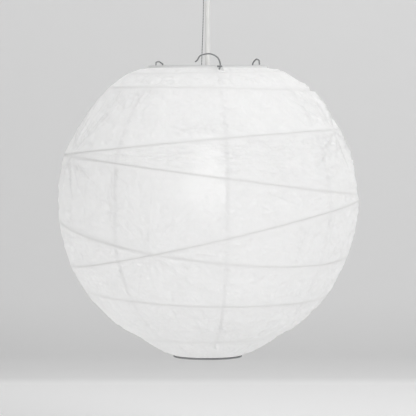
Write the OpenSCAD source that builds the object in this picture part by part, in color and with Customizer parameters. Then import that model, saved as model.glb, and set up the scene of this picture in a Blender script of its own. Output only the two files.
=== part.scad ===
// Round paper lantern on a pendant set, hung from its ceiling rose.
// Millimetres, +Z up. The origin is the middle of the rose's top face, on the ceiling.
// The front of the lantern faces -Y.

/* [Paper shade] */
// Outside diameter of the paper ball
shade_d = 450; // [370:5:600]
// Outside diameter of the paper at the top mouth
top_mouth_d = 176; // [160:1:210]
// Outside diameter of the paper at the bottom mouth
bottom_mouth_d = 100; // [84:1:120]
// How far the top mouth is pulled in below the round of the ball
top_sink = 6.5; // [3:0.5:10]
// How far the bottom mouth is pushed out past the round of the ball
bottom_drop = 10; // [4:0.5:16]
// Thickness of the pasted rice paper
paper_t = 0.6; // [0.4:0.1:1]
// Turn of the first upright seam from +X
seam_turn = 6.6; // [0:0.2:10]
// Height of the paper hem above the top ring's middle
hem_above = 1.5; // [1.3:0.1:2.5]
// Height of the paper hem below the top ring's middle
hem_below = 2.5; // [2:0.1:4]

/* [Shade wires] */
// Wire of the ribs that the paper is pasted on
rib_wire_d = 2; // [1.4:0.1:2.6]
// Wire of the two end rings
ring_wire_d = 2.5; // [2:0.1:3]
// Gap between pasted or stacked pieces
paste_gap = 0.06; // [0.04:0.01:0.15]

/* [Steel frame] */
// Wire of the frame's legs, arms and foot ring
frame_wire_d = 2.2; // [1.8:0.1:3]
// Depth of the lampholder ring below the top ring
holder_ring_depth = 95; // [80:1:120]
// Hole of the lampholder ring
holder_ring_bore_d = 42; // [42:0.5:46]
// Outside diameter of the lampholder ring
holder_ring_d = 56; // [54:0.5:60]
// Thickness of the lampholder ring
holder_ring_t = 2; // [1.5:0.1:2.5]
// Width of each hook's arch
hook_w = 36; // [30:1:42]
// Height of the front hook's arch above the top ring
front_hook_h = 18; // [14:0.5:22]
// Height of the right rear hook's arch above the top ring
right_hook_h = 11.5; // [8:0.5:22]
// Height of the left rear hook's arch above the top ring
left_hook_h = 8; // [8:0.5:22]

/* [Flex and support wire] */
// Depth of the top ring below the ceiling
hang_depth = 175; // [165:1:260]
// Diameter of the round flex
flex_d = 7; // [5.5:0.1:7.6]
// Diameter of the steel support wire beside the flex
support_wire_d = 1.2; // [1:0.1:1.6]
// Distance of the support wire from the flex's axis at the ceiling
support_wire_x = 6; // [5.6:0.1:6.6]
// Distance of the support wire from the flex's axis at the lampholder
support_wire_end_x = 10; // [9.5:0.1:11]
// Diameter of the crimps on the support wire
crimp_d = 3.2; // [2.8:0.1:3.6]
// Length of each crimp
crimp_h = 4; // [3:0.5:5]

/* [Ceiling rose] */
// Outside diameter of the rose
rose_d = 100; // [98:1:120]
// Depth of the rose below the ceiling
rose_h = 56; // [55:1:60]
// Wall of the rose's cover
cover_wall = 2; // [1.6:0.1:2.6]
// Hole in the cover that the swivel ball shows through
cover_hole_d = 26; // [24:1:30]
// Thickness of the rose's base plate
rose_base_t = 5; // [5:0.5:7]
// Distance between the two ceiling screws
ceiling_screw_spacing = 76; // [74:1:80]
// Hole for each ceiling screw
ceiling_screw_hole_d = 4.5; // [4:0.1:5]
// Hole for the mains cable in the base plate
cable_hole_d = 14; // [12:0.5:16]

/* [Swivel] */
// Depth of the swivel's centre below the ceiling
swivel_depth = 46; // [45:0.5:47]
// Diameter of the swivel ball
ball_d = 22; // [21:0.5:23]
// Outside diameter of the tilting ring round the ball
tilt_ring_d = 28; // [27.5:0.5:29]
// Outside diameter of the turning collar
collar_d = 35; // [34.5:0.5:36]
// Diameter of the pins that the ring and the ball tilt on
swivel_pin_d = 2; // [1.5:0.1:2.4]
// Radial running gap in the swivel
swivel_gap = 0.08; // [0.03:0.01:0.1]

/* [Lampholder and bulb] */
// Outside diameter of the lampholder's threaded skirt
skirt_d = 39.8; // [39:0.1:41]
// Length of the skirt below the frame's ring
skirt_len = 26; // [25:0.5:30]
// Diameter of the flange that the frame's ring is clamped against
flange_d = 52; // [50:0.5:54]
// Outside diameter of the shade nut
nut_d = 54; // [50:0.5:56]
// Height of the shade nut
nut_h = 9; // [7:0.5:10]
// Wall of the lampholder's skirt
skirt_wall = 2.4; // [2:0.1:2.8]
// Wall of the lampholder's cap
cap_wall = 1.8; // [1.4:0.1:2.2]
// Length of the tapered sleeve that guards the flex above the cap
sleeve_len = 26; // [20:1:40]
// Diameter of the bulb's screw cap
bulb_cap_d = 26.4; // [26:0.1:26.6]
// Diameter of the bulb's glass
bulb_d = 60; // [55:1:80]
// Depth of the middle of the glass below the top ring
bulb_depth = 183; // [178:1:200]
// Radial running gap of the screw threads
thread_gap = 0.08; // [0.03:0.01:0.1]

/* [Hidden] */
$fn = 64;
HOOKS = 3;
STRIPS = 8;
// Each rib is a flat hoop: how far its plane lies above the middle of the ball as a share of the
// way up to the shoulder, or below it as a share of the way down to the skirt, its tilt down at
// the front, its tilt down at the right, its layer
RIBS = [
    [0.9887, 0.5, -0.8, 0],
    [0.8593, -1, 1, 0],
    [0.4562, -2, -5.2, 0],
    [0.2137, -1, 7.6, 1],
    [-0.2341, 0.6, -12.9, 0],
    [-0.2478, 7.5, 7, 1],
    [-0.6681, 3.5, 1.4, 0],
    [-1.0141, 0.5, -0.5, 0]
];

// Ball of paper: heights ending in _up are from its middle, heights ending in _z from the ceiling
ball_r = shade_d / 2;
top_r = top_mouth_d / 2;
bottom_r = bottom_mouth_d / 2;
top_up = sqrt(ball_r * ball_r - top_r * top_r) - top_sink;
bottom_up = -sqrt(ball_r * ball_r - bottom_r * bottom_r) - bottom_drop;
top_z = -hang_depth;
middle_z = top_z - top_up;
bottom_z = middle_z + bottom_up;
outline_step = 6;
shoulder_angle = asin(top_r / ball_r) + 7;
skirt_angle = 180 - atan(bottom_r / -bottom_up) - acos(ball_r / norm([bottom_r, bottom_up]));
outline_count = ceil((skirt_angle - shoulder_angle) / outline_step);
outline_flat = ball_r * (1 - cos(outline_step / 2));
rib_track_r = ball_r - paper_t - outline_flat - paste_gap - rib_wire_d / 2;
rib_layer = rib_wire_d + paste_gap;
top_ring_r = top_r - paper_t - paste_gap - ring_wire_d / 2;
bottom_ring_r = bottom_r;
bottom_edge_up = ring_wire_d / 2 + paste_gap;

// Steel frame
frame_r = frame_wire_d / 2;
ring_r = ring_wire_d / 2;
foot_in = 2;
foot_ring_r = bottom_ring_r - foot_in;
foot_reach = ring_r + frame_r + paste_gap;
foot_ring_z = bottom_z + sqrt(foot_reach * foot_reach - foot_in * foot_in);
leg_foot_r = foot_ring_r - frame_wire_d - paste_gap;
leg_top_r = top_ring_r - 7;
leg_top_z = top_z - 45;
holder_z = top_z - holder_ring_depth;
notch_w = 8;
notch_in = 3;
notch_out = 9;
notch_below = 8;

// Ceiling rose
cover_r = rose_d / 2;
cover_in_r = cover_r - cover_wall;
cover_gap = 0.6;
base_r = cover_in_r - 2.4;
corner_r = 20;
corner_step = 15;
lug_angle = 22;
lug_t = 2;
lug_w = 1.6;
screw_head_r = 2.8;
screw_head_h = 2;
screw_r = 1.5;
screw_fit = 0.05;
seat_gap = 0.05;
strap_t = 2;
strap_w = 14;
strap_x = 21;
strap_foot = 12;
bracket_plate_r = 24;
terminal_w = 34;
terminal_d = 16;
terminal_h = 12;
terminal_y = 15;
terminal_pitch = 11;

// Swivel
swivel_z = -swivel_depth;
collar_h = 8;
collar_flange_t = 1.5;
tilt_ring_h = 6;
ring_pin_out = 1.6;
ball_pin_out = 1.9;

// Lampholder, measured up from the frame's ring
flange_z = holder_z + holder_ring_t / 2 + seat_gap;
flange_t = 4;
neck_r = skirt_d / 2 - 0.4;
neck_h = 11;
cap_r = neck_r + cap_wall + 0.2;
cap_neck_z = holder_z + 40;
sleeve_top_z = cap_neck_z + sleeve_len;
sleeve_tip_wall = 1;
cap_shoulder_z = holder_z + 26;
cap_neck_r = 8;
flex_end_z = holder_z + 30;
clamp_z = holder_z + 29;
clamp_h = 8;
clamp_r = 6.3;
low_crimp_z = holder_z + 29;
skirt_z = holder_z - skirt_len;
insert_r = skirt_d / 2 - skirt_wall - 0.2;
insert_z = skirt_z + 2;
insert_floor_z = holder_z + 5;
insert_floor_t = 6;
shell_in_r = bulb_cap_d / 2 + thread_gap;
shell_t = 0.5;

// Bulb
bulb_r = bulb_d / 2;
bulb_z = top_z - bulb_depth;
bulb_cap_z = skirt_z + 1.5;
bulb_cap_top_z = holder_z - 1.5;
bulb_cap_t = 0.4;
insulator_h = 2.7;
bulb_tip_r = 4.8;
bulb_tip_h = 1.1;
glass_t = 1;

// Flex and support wire hang straight between the swivel and the lampholder
flex_top_z = swivel_z + ball_d / 2 + 2;
flex_rings = 13;
flex_route = [for (i = [0:flex_rings]) [0, 0, flex_top_z + (flex_end_z - flex_top_z) * i / flex_rings]];
wire_top_z = swivel_z + ball_d / 2 + 4;
wire_lean_z = swivel_z - ball_d / 2 - 2;
wire_rings = 24;
wire_route = [for (i = [0:wire_rings])
    let (z = wire_top_z + (low_crimp_z - 1 - wire_top_z) * i / wire_rings,
        lean = max(0, min(1, (wire_lean_z - z) / (wire_lean_z - cap_neck_z))))
        [-support_wire_x - (support_wire_end_x - support_wire_x) * lean * lean * (3 - 2 * lean), 0, z]];

// ---- Shared functions and shapes ----

function unit(v) = v / norm(v);
function reversed(list) = [for (i = [len(list) - 1:-1:0]) list[i]];
function heading(route, i) = unit(route[min(i + 1, len(route) - 1)] - route[max(i - 1, 0)]);
function squared_to(v, t) = unit(v - (v * t) * t);

// Smooth curve through a list of points, with some steps between each two
function curve_point(a, b, c, d, t) =
    0.5 * (2 * b + (c - a) * t + (2 * a - 5 * b + 4 * c - d) * t * t + (3 * b - a - 3 * c + d) * t * t * t);
function smooth(points, steps) = let (last = len(points) - 1) concat(
    [for (i = [0:last - 1], s = [0:steps - 1])
        curve_point(points[max(i - 1, 0)], points[i], points[i + 1], points[min(i + 2, last)], s / steps)],
    [points[last]]
);

// A round wire swept along a route. The side direction starts square to the route
module swept(route, d, sides, side) {
    count = len(route);
    normals = [for (i = 0, n = squared_to(side, heading(route, 0));
        i < count;
        i = i + 1, n = i < count ? squared_to(n, heading(route, i)) : n) n];
    points = [for (i = [0:count - 1], j = [0:sides - 1])
        let (a = 360 * j / sides, n = normals[i], b = cross(heading(route, i), n))
            route[i] + d / 2 * (cos(a) * n + sin(a) * b)];
    walls = [for (i = [0:count - 2], j = [0:sides - 1])
        let (k = (j + 1) % sides)
            [i * sides + j, (i + 1) * sides + j, (i + 1) * sides + k, i * sides + k]];
    start_cap = [for (j = [0:sides - 1]) j];
    end_cap = [for (j = [sides - 1:-1:0]) (count - 1) * sides + j];
    polyhedron(points = points, faces = concat([start_cap], walls, [end_cap]));
}

// A wire hoop lying flat
module hoop(r, wire_d) {
    rotate_extrude()
        translate([r, 0])
        circle(d = wire_d, $fn = 24);
}

// A tube standing on z
module tube(z, h, r_out, r_in) {
    translate([0, 0, z])
        difference() {
            cylinder(r = r_out, h = h);
            translate([0, 0, -1]) cylinder(r = r_in, h = h + 2);
        }
}

// A part of a flat ring, standing on z
module ring_part(z, h, r_out, r_in, angle) {
    rotate([0, 0, -angle / 2])
        translate([0, 0, z])
        rotate_extrude(angle = angle)
        translate([r_in, 0])
        square([r_out - r_in, h]);
}

// ---- Ceiling rose ----

module at_bracket_screws() {
    for (x = [-1, 1])
        translate([x * (strap_x + strap_t + strap_foot / 2 - 1), 0, 0]) children();
}

module rose_base() {
    color("whitesmoke")
        difference() {
            union() {
                translate([0, 0, -rose_base_t]) cylinder(r = base_r, h = rose_base_t);
                for (side = [90, 270])
                    rotate([0, 0, side])
                        ring_part(-rose_base_t, lug_t, base_r + lug_w, base_r - 2, lug_angle);
            }
            translate([0, 0, -rose_base_t - 1]) cylinder(d = cable_hole_d, h = rose_base_t + 2);
            for (x = [-1, 1])
                translate([x * ceiling_screw_spacing / 2, 0, -rose_base_t - 1])
                    cylinder(d = ceiling_screw_hole_d, h = rose_base_t + 2);
            at_bracket_screws()
                translate([0, 0, -rose_base_t - 1]) cylinder(r = screw_r + screw_fit, h = rose_base_t);
        }
}

// The cover hangs by two ledges on the base's lugs, and turns until they are clear of them
module rose_cover() {
    floor_z = -rose_h;
    function corner(r) = [for (a = [0:corner_step:90])
        [cover_r - corner_r + r * cos(a), floor_z + corner_r - r * sin(a)]];
    outer = concat([[cover_r, -cover_gap]], corner(corner_r), [[cover_hole_d / 2, floor_z]]);
    inner = concat([[cover_in_r, -cover_gap]], corner(corner_r - cover_wall),
        [[cover_hole_d / 2, floor_z + cover_wall]]);
    ledge_z = -rose_base_t + lug_t + 2 * seat_gap;
    color("white") {
        rotate_extrude() polygon(concat(outer, reversed(inner)));
        for (side = [90, 270])
            rotate([0, 0, side])
                ring_part(ledge_z, -cover_gap - ledge_z, cover_in_r + 0.5, base_r + 0.4, lug_angle);
    }
}

module swivel_bracket() {
    plate_z = swivel_z + collar_h / 2 - strap_t;
    foot_z = -rose_base_t - strap_t;
    color("silver")
        difference() {
            union() {
                translate([0, 0, plate_z]) cylinder(r = bracket_plate_r, h = strap_t);
                for (side = [0, 180])
                    rotate([0, 0, side]) {
                        translate([strap_x, -strap_w / 2, plate_z])
                            cube([strap_t, strap_w, -rose_base_t - plate_z]);
                        translate([strap_x, -strap_w / 2, foot_z])
                            cube([strap_foot, strap_w, strap_t]);
                    }
            }
            translate([0, 0, plate_z - 1]) cylinder(d = collar_d + 2 * swivel_gap, h = strap_t + 2);
            at_bracket_screws()
                translate([0, 0, foot_z - 1]) cylinder(r = screw_r + screw_fit, h = strap_t + 2);
        }
}

module bracket_screws() {
    head_z = -rose_base_t - strap_t - seat_gap;
    color("gainsboro")
        at_bracket_screws() {
            translate([0, 0, head_z - screw_head_h]) cylinder(r = screw_head_r, h = screw_head_h);
            translate([0, 0, head_z - 0.5]) cylinder(r = screw_r, h = strap_t + rose_base_t - 1);
        }
}

module at_terminals() {
    for (i = [-1:1])
        translate([i * terminal_pitch, terminal_y + terminal_d / 2, -rose_base_t - terminal_h - seat_gap])
            children();
}

module terminal_block() {
    color("ivory")
        difference() {
            translate([-terminal_w / 2, terminal_y, -rose_base_t - terminal_h - seat_gap])
                cube([terminal_w, terminal_d, terminal_h]);
            at_terminals() {
                translate([0, 0, 7]) rotate([90, 0, 0]) cylinder(d = 3.6, h = terminal_d + 2, center = true);
                for (y = [-1, 1])
                    translate([0, y * 4, -1]) cylinder(d = 4.4, h = 8);
            }
        }
}

module terminal_screws() {
    color("goldenrod")
        at_terminals()
            for (y = [-1, 1])
                translate([0, y * 4, 0.5]) cylinder(d = 4.2, h = 3);
}

// ---- Swivel: a turning collar, a ring that tilts in it on two side pins, and a ball that
// tilts in the ring on a front and a back pin ----

// A pin on each side of the swivel's centre, from one radius to another
module side_pins(turn, r_in, r_out, d) {
    for (side = [0, 180])
        rotate([0, 90, turn + side])
            translate([0, 0, r_in])
            cylinder(d = d, h = r_out - r_in);
}

module swivel_collar() {
    ring_r = tilt_ring_d / 2;
    color("gainsboro")
        translate([0, 0, swivel_z])
        difference() {
            union() {
                translate([0, 0, -collar_h / 2]) cylinder(d = collar_d, h = collar_h + 1);
                translate([0, 0, collar_h / 2 + seat_gap])
                    cylinder(d = collar_d + 4, h = collar_flange_t);
            }
            sphere(r = ring_r + swivel_gap);
            cylinder(d = tilt_ring_d - 1.4, h = collar_h);
            side_pins(0, ring_r - 1, ring_r + ring_pin_out + seat_gap, swivel_pin_d + 2 * swivel_gap);
        }
}

module swivel_tilt_ring() {
    ring_r = tilt_ring_d / 2;
    color("darkgray")
        translate([0, 0, swivel_z])
        difference() {
            union() {
                intersection() {
                    sphere(d = tilt_ring_d);
                    cylinder(d = tilt_ring_d + 2, h = tilt_ring_h, center = true);
                }
                side_pins(0, ring_r - 1, ring_r + ring_pin_out, swivel_pin_d);
            }
            sphere(r = ball_d / 2 + swivel_gap);
            side_pins(90, ball_d / 2 - 1, ring_r + 1, swivel_pin_d + 2 * swivel_gap);
        }
}

module swivel_ball() {
    color("gainsboro")
        difference() {
            translate([0, 0, swivel_z])
                union() {
                    sphere(d = ball_d);
                    side_pins(90, ball_d / 2 - 1, ball_d / 2 + ball_pin_out, swivel_pin_d);
                }
            translate([0, 0, swivel_z - ball_d]) cylinder(d = flex_d, h = 2 * ball_d);
            translate([-support_wire_x, 0, swivel_z - ball_d])
                cylinder(d = support_wire_d + 2 * paste_gap, h = 2 * ball_d);
        }
}

module flex() {
    color("white") swept(flex_route, flex_d, 10, [1, 0, 0]);
}

module support_wire() {
    color("darkgray") swept(wire_route, support_wire_d, 8, [0, 1, 0]);
}

module wire_crimps() {
    high_z = swivel_z + sqrt(pow(ball_d / 2, 2) - pow(support_wire_x - crimp_d / 2, 2)) + seat_gap;
    bore_r = support_wire_d / 2 + paste_gap;
    color("silver") {
        translate([-support_wire_x, 0, 0]) tube(high_z, crimp_h, crimp_d / 2, bore_r);
        translate([-support_wire_end_x, 0, 0]) tube(low_crimp_z, crimp_h, crimp_d / 2, bore_r);
    }
}

// ---- Lampholder ----

module holder_cap() {
    low_z = flange_z + flange_t + seat_gap;
    in_r = cap_r - cap_wall;
    bore_r = flex_d / 2 + 0.1;
    color("white")
        difference() {
            rotate_extrude()
                polygon([[in_r, low_z], [cap_r, low_z], [cap_r, cap_shoulder_z], [cap_neck_r, cap_neck_z],
                    [bore_r + sleeve_tip_wall, sleeve_top_z], [bore_r, sleeve_top_z],
                    [bore_r, cap_neck_z - 1.5], [cap_neck_r - 1.5, cap_neck_z - 1.5],
                    [in_r, cap_shoulder_z - 1]]);
            translate([-support_wire_end_x, 0, cap_shoulder_z])
                cylinder(r = support_wire_d / 2 + 0.15, h = 20);
        }
}

module flex_clamp() {
    color("gainsboro") tube(clamp_z, clamp_h, clamp_r, flex_d / 2 + 0.02);
}

module holder_body() {
    bore_r = skirt_d / 2 - skirt_wall;
    color("white")
        rotate_extrude()
        polygon([[bore_r, skirt_z], [skirt_d / 2, skirt_z], [skirt_d / 2, flange_z],
            [flange_d / 2, flange_z], [flange_d / 2, flange_z + flange_t], [neck_r, flange_z + flange_t],
            [neck_r, flange_z + flange_t + neck_h], [bore_r, flange_z + flange_t + neck_h]]);
}

module holder_insert() {
    bore_r = shell_in_r + shell_t + seat_gap;
    color("ivory")
        rotate_extrude()
        polygon([[bore_r, insert_z], [insert_r, insert_z], [insert_r, insert_floor_z + insert_floor_t],
            [0, insert_floor_z + insert_floor_t], [0, insert_floor_z], [bore_r, insert_floor_z]]);
}

module holder_screw_shell() {
    color("gold") tube(insert_z + 1, insert_floor_z - insert_z - 2, shell_in_r + shell_t, shell_in_r);
}

// A spring tongue folded under the insert's floor, resting on the bulb's tip
module holder_contact() {
    tongue_z = bulb_cap_top_z + insulator_h + bulb_tip_h + 4 * seat_gap;
    color("gold") {
        translate([-7, -3, tongue_z]) cube([14, 6, 0.5]);
        translate([6.4, -3, tongue_z]) cube([0.6, 6, insert_floor_z - seat_gap - tongue_z]);
    }
}

module shade_nut() {
    nut_z = holder_z - holder_ring_t / 2 - seat_gap - nut_h;
    grips = 20;
    color("white")
        difference() {
            tube(nut_z, nut_h, nut_d / 2, skirt_d / 2 + thread_gap);
            for (i = [0:grips - 1])
                rotate([0, 0, 360 * i / grips])
                    translate([nut_d / 2 + 0.6, 0, nut_z - 1])
                    cylinder(r = 1.4, h = nut_h - 1, $fn = 16);
        }
}

// ---- Bulb ----

module bulb_tip() {
    color("silver")
        translate([0, 0, bulb_cap_top_z + insulator_h + seat_gap])
        cylinder(r = bulb_tip_r, h = bulb_tip_h);
}

module bulb_insulator() {
    color("black")
        translate([0, 0, bulb_cap_top_z + seat_gap])
        cylinder(r1 = bulb_cap_d / 2 - bulb_cap_t, r2 = bulb_tip_r + 1, h = insulator_h - seat_gap);
}

module bulb_cap() {
    r = bulb_cap_d / 2;
    color("silver") tube(bulb_cap_z, bulb_cap_top_z - bulb_cap_z, r, r - bulb_cap_t);
}

module bulb_glass() {
    seat_r = bulb_cap_d / 2 - bulb_cap_t - seat_gap;
    shoulder = 38;
    function outline(off) = concat(
        [[seat_r - off, bulb_cap_z + 8], [seat_r - off, bulb_cap_z - 1]],
        [[seat_r + 1.2 - off, bulb_cap_z - 6], [seat_r + 3 - off, bulb_cap_z - 15]],
        [for (a = [shoulder:14.2:181]) [(bulb_r - off) * max(0, sin(a)), bulb_z + (bulb_r - off) * cos(a)]]);
    color("white", 0.8)
        rotate_extrude()
        polygon(concat(outline(0), reversed(outline(glass_t))));
}

// ---- Steel frame, made for the front hook and turned to the others ----

function to_hook(i) = [0, 0, 120 * (i - 1)];
// A place by its distance along the top ring to the right, out from it and up from it
function at_ring(along, out, up) = let (a = along / top_ring_r * 180 / PI)
    [(top_ring_r + out) * sin(a), -(top_ring_r + out) * cos(a), top_z + up];
hook_h = [front_hook_h, right_hook_h, left_hook_h];
// The left rear hook is bent the other way
hook_side = [1, 1, -1];
// Half of the arch's width, and the height of its free tip above the top ring
function hook_foot(i) = 0.48 * hook_w * hook_side[i - 1];
function hook_tip_up(i) = 0.36 * hook_h[i - 1];

module frame_holder_ring() {
    color("silver")
        tube(holder_z - holder_ring_t / 2, holder_ring_t, holder_ring_d / 2, holder_ring_bore_d / 2);
}

module frame_foot_ring() {
    color("silver") translate([0, 0, foot_ring_z]) hoop(foot_ring_r, frame_wire_d);
}

module frame_arm(i) {
    leg_r = leg_foot_r + (leg_top_r - leg_foot_r) * (holder_z - foot_ring_z) / (leg_top_z - foot_ring_z);
    start = holder_ring_d / 2 + seat_gap;
    color("silver")
        rotate(to_hook(i))
        translate([0, -start, holder_z])
        rotate([90, 0, 0])
        cylinder(d = holder_ring_t, h = leg_r - frame_r - 2 * seat_gap - start);
}

// The leg rises inside the shade, passes out under the top ring, arches back over it
// and ends in a flared tip inside, so the ring sits in its crook
module frame_leg(i) {
    foot = hook_foot(i);
    rise = hook_h[i - 1];
    lower = [for (t = [0:0.125:0.875])
        [0, -leg_foot_r - (leg_top_r - leg_foot_r) * t, foot_ring_z - 1 + (leg_top_z - foot_ring_z + 1) * t]];
    upper = smooth([
        [0, -leg_top_r, leg_top_z],
        at_ring(foot * 0.7, -6.5, -27),
        at_ring(foot, -5.5, -13),
        at_ring(foot, -3, -5.2),
        at_ring(foot, 0.8, -3.2),
        at_ring(foot, 4, -0.8),
        at_ring(foot, 4.4, 4.5),
        at_ring(foot * 0.78, 3.2, rise * 0.72),
        at_ring(foot * 0.2, 0.4, rise),
        at_ring(-foot * 0.6, -2.8, rise * 0.86),
        at_ring(-foot * 0.92, -4.4, rise * 0.5),
        at_ring(-foot * 1.12, -5.4, hook_tip_up(i))
    ], 3);
    color("silver") rotate(to_hook(i)) swept(concat(lower, upper), frame_wire_d, 8, [1, 0, 0]);
}

// ---- Paper shade ----

module shade_top_ring() {
    color("silver") translate([0, 0, top_z]) hoop(top_ring_r, ring_wire_d);
}

module shade_bottom_ring() {
    color("silver") translate([0, 0, bottom_z]) hoop(bottom_ring_r, ring_wire_d);
}

module rib(i) {
    share = RIBS[i - 1][0];
    lift = share * (share > 0 ? cos(shoulder_angle) : -cos(skirt_angle));
    track_r = rib_track_r - RIBS[i - 1][3] * rib_layer;
    color("gainsboro")
        translate([0, 0, middle_z])
        rotate([RIBS[i - 1][1], RIBS[i - 1][2], 0])
        translate([0, 0, lift * track_r])
        hoop(track_r * sqrt(1 - lift * lift), rib_wire_d);
}

// The ball's outline from the top hem to the bottom edge, some way in from the outside
function shade_outline(off) = concat(
    [[top_r - off, top_up + hem_above], [top_r - off, top_up - hem_below - off]],
    [for (i = [0:outline_count])
        let (a = shoulder_angle + (skirt_angle - shoulder_angle) * i / outline_count)
            (ball_r - off) * [sin(a), cos(a)]],
    [[bottom_r - 0.5 * off, bottom_up + bottom_edge_up + 0.85 * off]]
);

module hook_notches() {
    for (i = [1:HOOKS])
        rotate(to_hook(i))
            rotate([0, 0, hook_foot(i) / top_ring_r * 180 / PI])
            translate([-notch_w / 2, -top_ring_r - notch_out, top_up - notch_below])
            cube([notch_w, notch_in + notch_out, notch_below + hem_above + 1]);
}

module paper_strip(i) {
    width = 360 / STRIPS;
    color("white")
        translate([0, 0, middle_z])
        difference() {
            rotate([0, 0, seam_turn + width * (i - 1)])
                rotate_extrude(angle = width)
                polygon(concat(shade_outline(0), reversed(shade_outline(paper_t))));
            hook_notches();
        }
}

rose_base();
rose_cover();
swivel_bracket();
bracket_screws();
terminal_block();
terminal_screws();
swivel_collar();
swivel_tilt_ring();
swivel_ball();
flex();
support_wire();
wire_crimps();
holder_cap();
flex_clamp();
holder_body();
holder_insert();
holder_screw_shell();
holder_contact();
bulb_tip();
bulb_insulator();
bulb_cap();
bulb_glass();
shade_nut();
frame_holder_ring();
frame_foot_ring();
for (i = [1:HOOKS]) {
    frame_arm(i);
    frame_leg(i);
}
shade_top_ring();
shade_bottom_ring();
for (i = [1:len(RIBS)])
    rib(i);
for (i = [1:STRIPS])
    paper_strip(i);
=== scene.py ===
import math
from functools import cache

import bpy
import numpy as np
from bpy.props import FloatProperty, FloatVectorProperty, IntProperty, PointerProperty
from bpy.types import Operator, Panel, PropertyGroup
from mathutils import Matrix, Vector, noise


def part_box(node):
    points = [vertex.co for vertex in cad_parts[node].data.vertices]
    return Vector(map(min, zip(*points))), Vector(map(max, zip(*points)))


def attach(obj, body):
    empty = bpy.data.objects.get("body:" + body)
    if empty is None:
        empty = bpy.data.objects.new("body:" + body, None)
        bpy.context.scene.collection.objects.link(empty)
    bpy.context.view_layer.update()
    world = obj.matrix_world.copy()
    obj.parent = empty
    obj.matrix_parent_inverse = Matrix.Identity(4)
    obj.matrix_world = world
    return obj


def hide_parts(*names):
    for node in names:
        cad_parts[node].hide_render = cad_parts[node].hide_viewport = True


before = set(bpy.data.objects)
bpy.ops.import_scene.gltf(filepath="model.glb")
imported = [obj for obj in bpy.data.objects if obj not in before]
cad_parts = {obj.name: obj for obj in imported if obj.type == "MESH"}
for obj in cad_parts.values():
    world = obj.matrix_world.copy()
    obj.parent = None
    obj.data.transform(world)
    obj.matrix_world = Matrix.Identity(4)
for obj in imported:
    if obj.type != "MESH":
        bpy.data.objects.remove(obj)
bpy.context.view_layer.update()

bl_info = {
    "name": "Paper lantern",
    "version": (1, 0, 0),
    "blender": (4, 2, 0),
    "location": "3D View > Sidebar > Lantern",
    "description": "Builds a round rice-paper lantern on its pendant set, piece by piece",
    "category": "Add Mesh",
}

HOOKS = 3
STRIPS = 8
RIBS = 8


# ---- Places read from the frame ----


def corners(node):
    low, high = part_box(node)
    return np.array(low), np.array(high)


def hoop(node):
    """Middle, upward normal, outside radius and wire thickness of a wire hoop."""
    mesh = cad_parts[node].data
    points = np.array([v.co for v in mesh.vertices], float)
    normal = np.linalg.svd(points - points.mean(0), full_matrices=False)[2][2]
    normal *= math.copysign(1, normal[2])
    side = np.cross(normal, (0, 1, 0))
    side /= np.linalg.norm(side)
    axes = np.array([side, np.cross(normal, side), normal])
    flat = points @ axes.T
    middle = (flat.min(0) + flat.max(0)) / 2
    radius = np.linalg.norm(flat[:, :2] - middle[:2], axis=1).max()
    return middle @ axes, normal, radius, float(np.ptp(flat[:, 2]))


def ball_middle(hoops):
    """Height of the middle of the ball, where the axes of all the hoops cross."""
    left, right = np.zeros((3, 3)), np.zeros(3)
    for middle, normal, _, _ in hoops:
        across = np.eye(3) - np.outer(normal, normal)
        left += across
        right += across @ middle
    return float(np.linalg.solve(left, right)[2])


RIB_HOOPS = [hoop(f"rib_{i}") for i in range(1, RIBS + 1)]
TOP_RING, BOTTOM_RING = hoop("shade_top_ring"), hoop("shade_bottom_ring")
MIDDLE_Z = ball_middle(RIB_HOOPS)
RIM_Z, BOTTOM_Z = float(TOP_RING[0][2]), float(BOTTOM_RING[0][2])


# ---- Sizes and colours that a user would change ----


def hex_colour(text):
    """Linear colour of an sRGB hex value."""
    parts = [int(text[i : i + 2], 16) / 255 for i in (0, 2, 4)]
    return [c / 12.92 if c <= 0.04045 else ((c + 0.055) / 1.055) ** 2.4 for c in parts]


def length(name, description, default, low=0.0, high=1.0):
    return FloatProperty(
        name=name, description=description, default=default, min=low, max=high, unit="LENGTH", precision=5
    )


def colour(name, description, text):
    return FloatVectorProperty(
        name=name, description=description, default=hex_colour(text), subtype="COLOR", min=0, max=1
    )


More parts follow.
